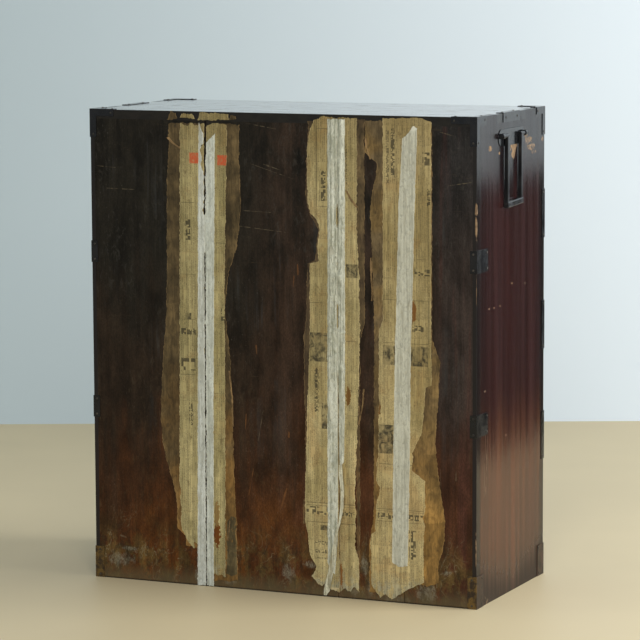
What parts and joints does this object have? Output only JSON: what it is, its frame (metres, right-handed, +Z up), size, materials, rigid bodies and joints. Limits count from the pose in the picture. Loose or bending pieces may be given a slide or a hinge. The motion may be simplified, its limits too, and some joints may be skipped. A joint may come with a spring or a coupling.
{
  "type": "tansu chest",
  "caption": "Lacquered wooden clothing chest with iron corners and carrying handles, wide and small drawers and a hinged cupboard, its back seams papered over.",
  "frame": {"origin": "middle of the whole footprint on the floor, the handles, pulls and pasted strips included", "axes": "+Z up; +X along the width, towards the right side as seen from the front; +Y along the depth, towards the back"},
  "size_m": [0.9334, 0.4384, 1.0474],
  "materials": {
    "case_lacquer": "glossy dark red-brown lacquer",
    "front_lacquer": "glossy red-brown lacquer over grain",
    "back_wood": "dark stained, dusty, unpolished",
    "bare_wood": "unfinished pale wood",
    "black_iron": "blackened iron, worn at the edges",
    "newspaper": "browned, printed, torn at the edges",
    "paper_tape": "greyed white, creased"
  },
  "bodies": {
    "case": {"side_panel_left": "case_lacquer", "side_panel_right": "case_lacquer", "top_board": "case_lacquer", "bottom_board": "case_lacquer", "base_rail": "case_lacquer", "rail_board_upper": "case_lacquer", "rail_board_middle": "case_lacquer", "rail_board_lower": "case_lacquer", "centre_divider": "case_lacquer", "small_drawer_shelf": "case_lacquer", "cupboard_shelf": "bare_wood", "back_board_1": "back_wood", "back_board_2": "back_wood", "back_board_3": "back_wood", "back_board_4": "back_wood", "seam_paper_left": "newspaper", "seam_paper_middle": "newspaper", "seam_paper_right": "newspaper", "seam_tape_left": "paper_tape", "seam_tape_middle": "paper_tape", "seam_tape_right": "paper_tape", "top_corner_plates": "black_iron", "bottom_corner_plates": "black_iron", "back_edge_straps": "black_iron", "front_edge_straps": "black_iron", "top_edge_straps": "black_iron", "fitting_nails": "black_iron", "side_handle_mount_left": "black_iron", "side_handle_mount_right": "black_iron", "drawer_stops": "bare_wood", "door_frame_hinges": "black_iron"},
    "carrying_handle_left": {"side_handle_left": "black_iron"},
    "carrying_handle_right": {"side_handle_right": "black_iron"},
    "upper_drawer": {"upper_drawer_front": "front_lacquer", "upper_drawer_box": "bare_wood", "upper_drawer_fittings": "black_iron"},
    "upper_pull_left": {"upper_drawer_pull_left": "black_iron"},
    "upper_pull_right": {"upper_drawer_pull_right": "black_iron"},
    "middle_drawer": {"middle_drawer_front": "front_lacquer", "middle_drawer_box": "bare_wood", "middle_drawer_fittings": "black_iron"},
    "middle_pull_left": {"middle_drawer_pull_left": "black_iron"},
    "middle_pull_right": {"middle_drawer_pull_right": "black_iron"},
    "lower_drawer": {"lower_drawer_front": "front_lacquer", "lower_drawer_box": "bare_wood", "lower_drawer_fittings": "black_iron"},
    "lower_pull_left": {"lower_drawer_pull_left": "black_iron"},
    "lower_pull_right": {"lower_drawer_pull_right": "black_iron"},
    "small_upper_drawer": {"small_upper_drawer_front": "front_lacquer", "small_upper_drawer_box": "bare_wood", "small_upper_drawer_fittings": "black_iron"},
    "small_upper_pull": {"small_upper_drawer_pull": "black_iron"},
    "small_lower_drawer": {"small_lower_drawer_front": "front_lacquer", "small_lower_drawer_box": "bare_wood", "small_lower_drawer_fittings": "black_iron"},
    "small_lower_pull": {"small_lower_drawer_pull": "black_iron"},
    "door": {"door_panel": "front_lacquer", "door_fittings": "black_iron"},
    "cupboard_pull": {"door_pull": "black_iron"}
  },
  "joints": [
    {"name": "carrying_handle_left_swing", "type": "hinge", "parent": "case", "child": "carrying_handle_left", "pos_m": [-0.46075, 0.0103, 0.997], "axis": [0, 1, 0], "range_deg": [0, 180]},
    {"name": "carrying_handle_right_swing", "type": "hinge", "parent": "case", "child": "carrying_handle_right", "pos_m": [0.46075, 0.0103, 0.997], "axis": [0, -1, 0], "range_deg": [0, 180]},
    {"name": "upper_drawer_slide", "type": "slide", "parent": "case", "child": "upper_drawer", "axis": [0, -1, 0], "range_m": [0, 0.3]},
    {"name": "upper_pull_left_swing", "type": "hinge", "parent": "upper_drawer", "child": "upper_pull_left", "pos_m": [-0.2465, -0.2112, 0.94215], "axis": [-1, 0, 0], "range_deg": [-15, 180]},
    {"name": "upper_pull_right_swing", "type": "hinge", "parent": "upper_drawer", "child": "upper_pull_right", "pos_m": [0.2465, -0.2112, 0.94215], "axis": [-1, 0, 0], "range_deg": [-15, 180]},
    {"name": "middle_drawer_slide", "type": "slide", "parent": "case", "child": "middle_drawer", "axis": [0, -1, 0], "range_m": [0, 0.3]},
    {"name": "middle_pull_left_swing", "type": "hinge", "parent": "middle_drawer", "child": "middle_pull_left", "pos_m": [-0.2465, -0.2112, 0.70615], "axis": [-1, 0, 0], "range_deg": [-15, 180]},
    {"name": "middle_pull_right_swing", "type": "hinge", "parent": "middle_drawer", "child": "middle_pull_right", "pos_m": [0.2465, -0.2112, 0.70615], "axis": [-1, 0, 0], "range_deg": [-15, 180]},
    {"name": "lower_drawer_slide", "type": "slide", "parent": "case", "child": "lower_drawer", "axis": [0, -1, 0], "range_m": [0, 0.3]},
    {"name": "lower_pull_left_swing", "type": "hinge", "parent": "lower_drawer", "child": "lower_pull_left", "pos_m": [-0.2465, -0.2112, 0.45865], "axis": [-1, 0, 0], "range_deg": [-15, 180]},
    {"name": "lower_pull_right_swing", "type": "hinge", "parent": "lower_drawer", "child": "lower_pull_right", "pos_m": [0.2465, -0.2112, 0.45865], "axis": [-1, 0, 0], "range_deg": [-15, 180]},
    {"name": "small_upper_drawer_slide", "type": "slide", "parent": "case", "child": "small_upper_drawer", "axis": [0, -1, 0], "range_m": [0, 0.3]},
    {"name": "small_upper_pull_swing", "type": "hinge", "parent": "small_upper_drawer", "child": "small_upper_pull", "pos_m": [-0.21275, -0.2112, 0.27153], "axis": [-1, 0, 0], "range_deg": [-15, 180]},
    {"name": "small_lower_drawer_slide", "type": "slide", "parent": "case", "child": "small_lower_drawer", "axis": [0, -1, 0], "range_m": [0, 0.3]},
    {"name": "small_lower_pull_swing", "type": "hinge", "parent": "small_lower_drawer", "child": "small_lower_pull", "pos_m": [-0.21275, -0.2112, 0.15077], "axis": [-1, 0, 0], "range_deg": [-15, 180]},
    {"name": "door_hinge", "type": "hinge", "parent": "case", "child": "door", "pos_m": [0.4365, -0.2022, 0], "axis": [0, 0, 1], "range_deg": [0, 170]},
    {"name": "cupboard_pull_swing", "type": "hinge", "parent": "door", "child": "cupboard_pull", "pos_m": [0.1025, -0.2132, 0.17575], "axis": [-1, 0, 0], "range_deg": [-15, 180]}
  ]
}
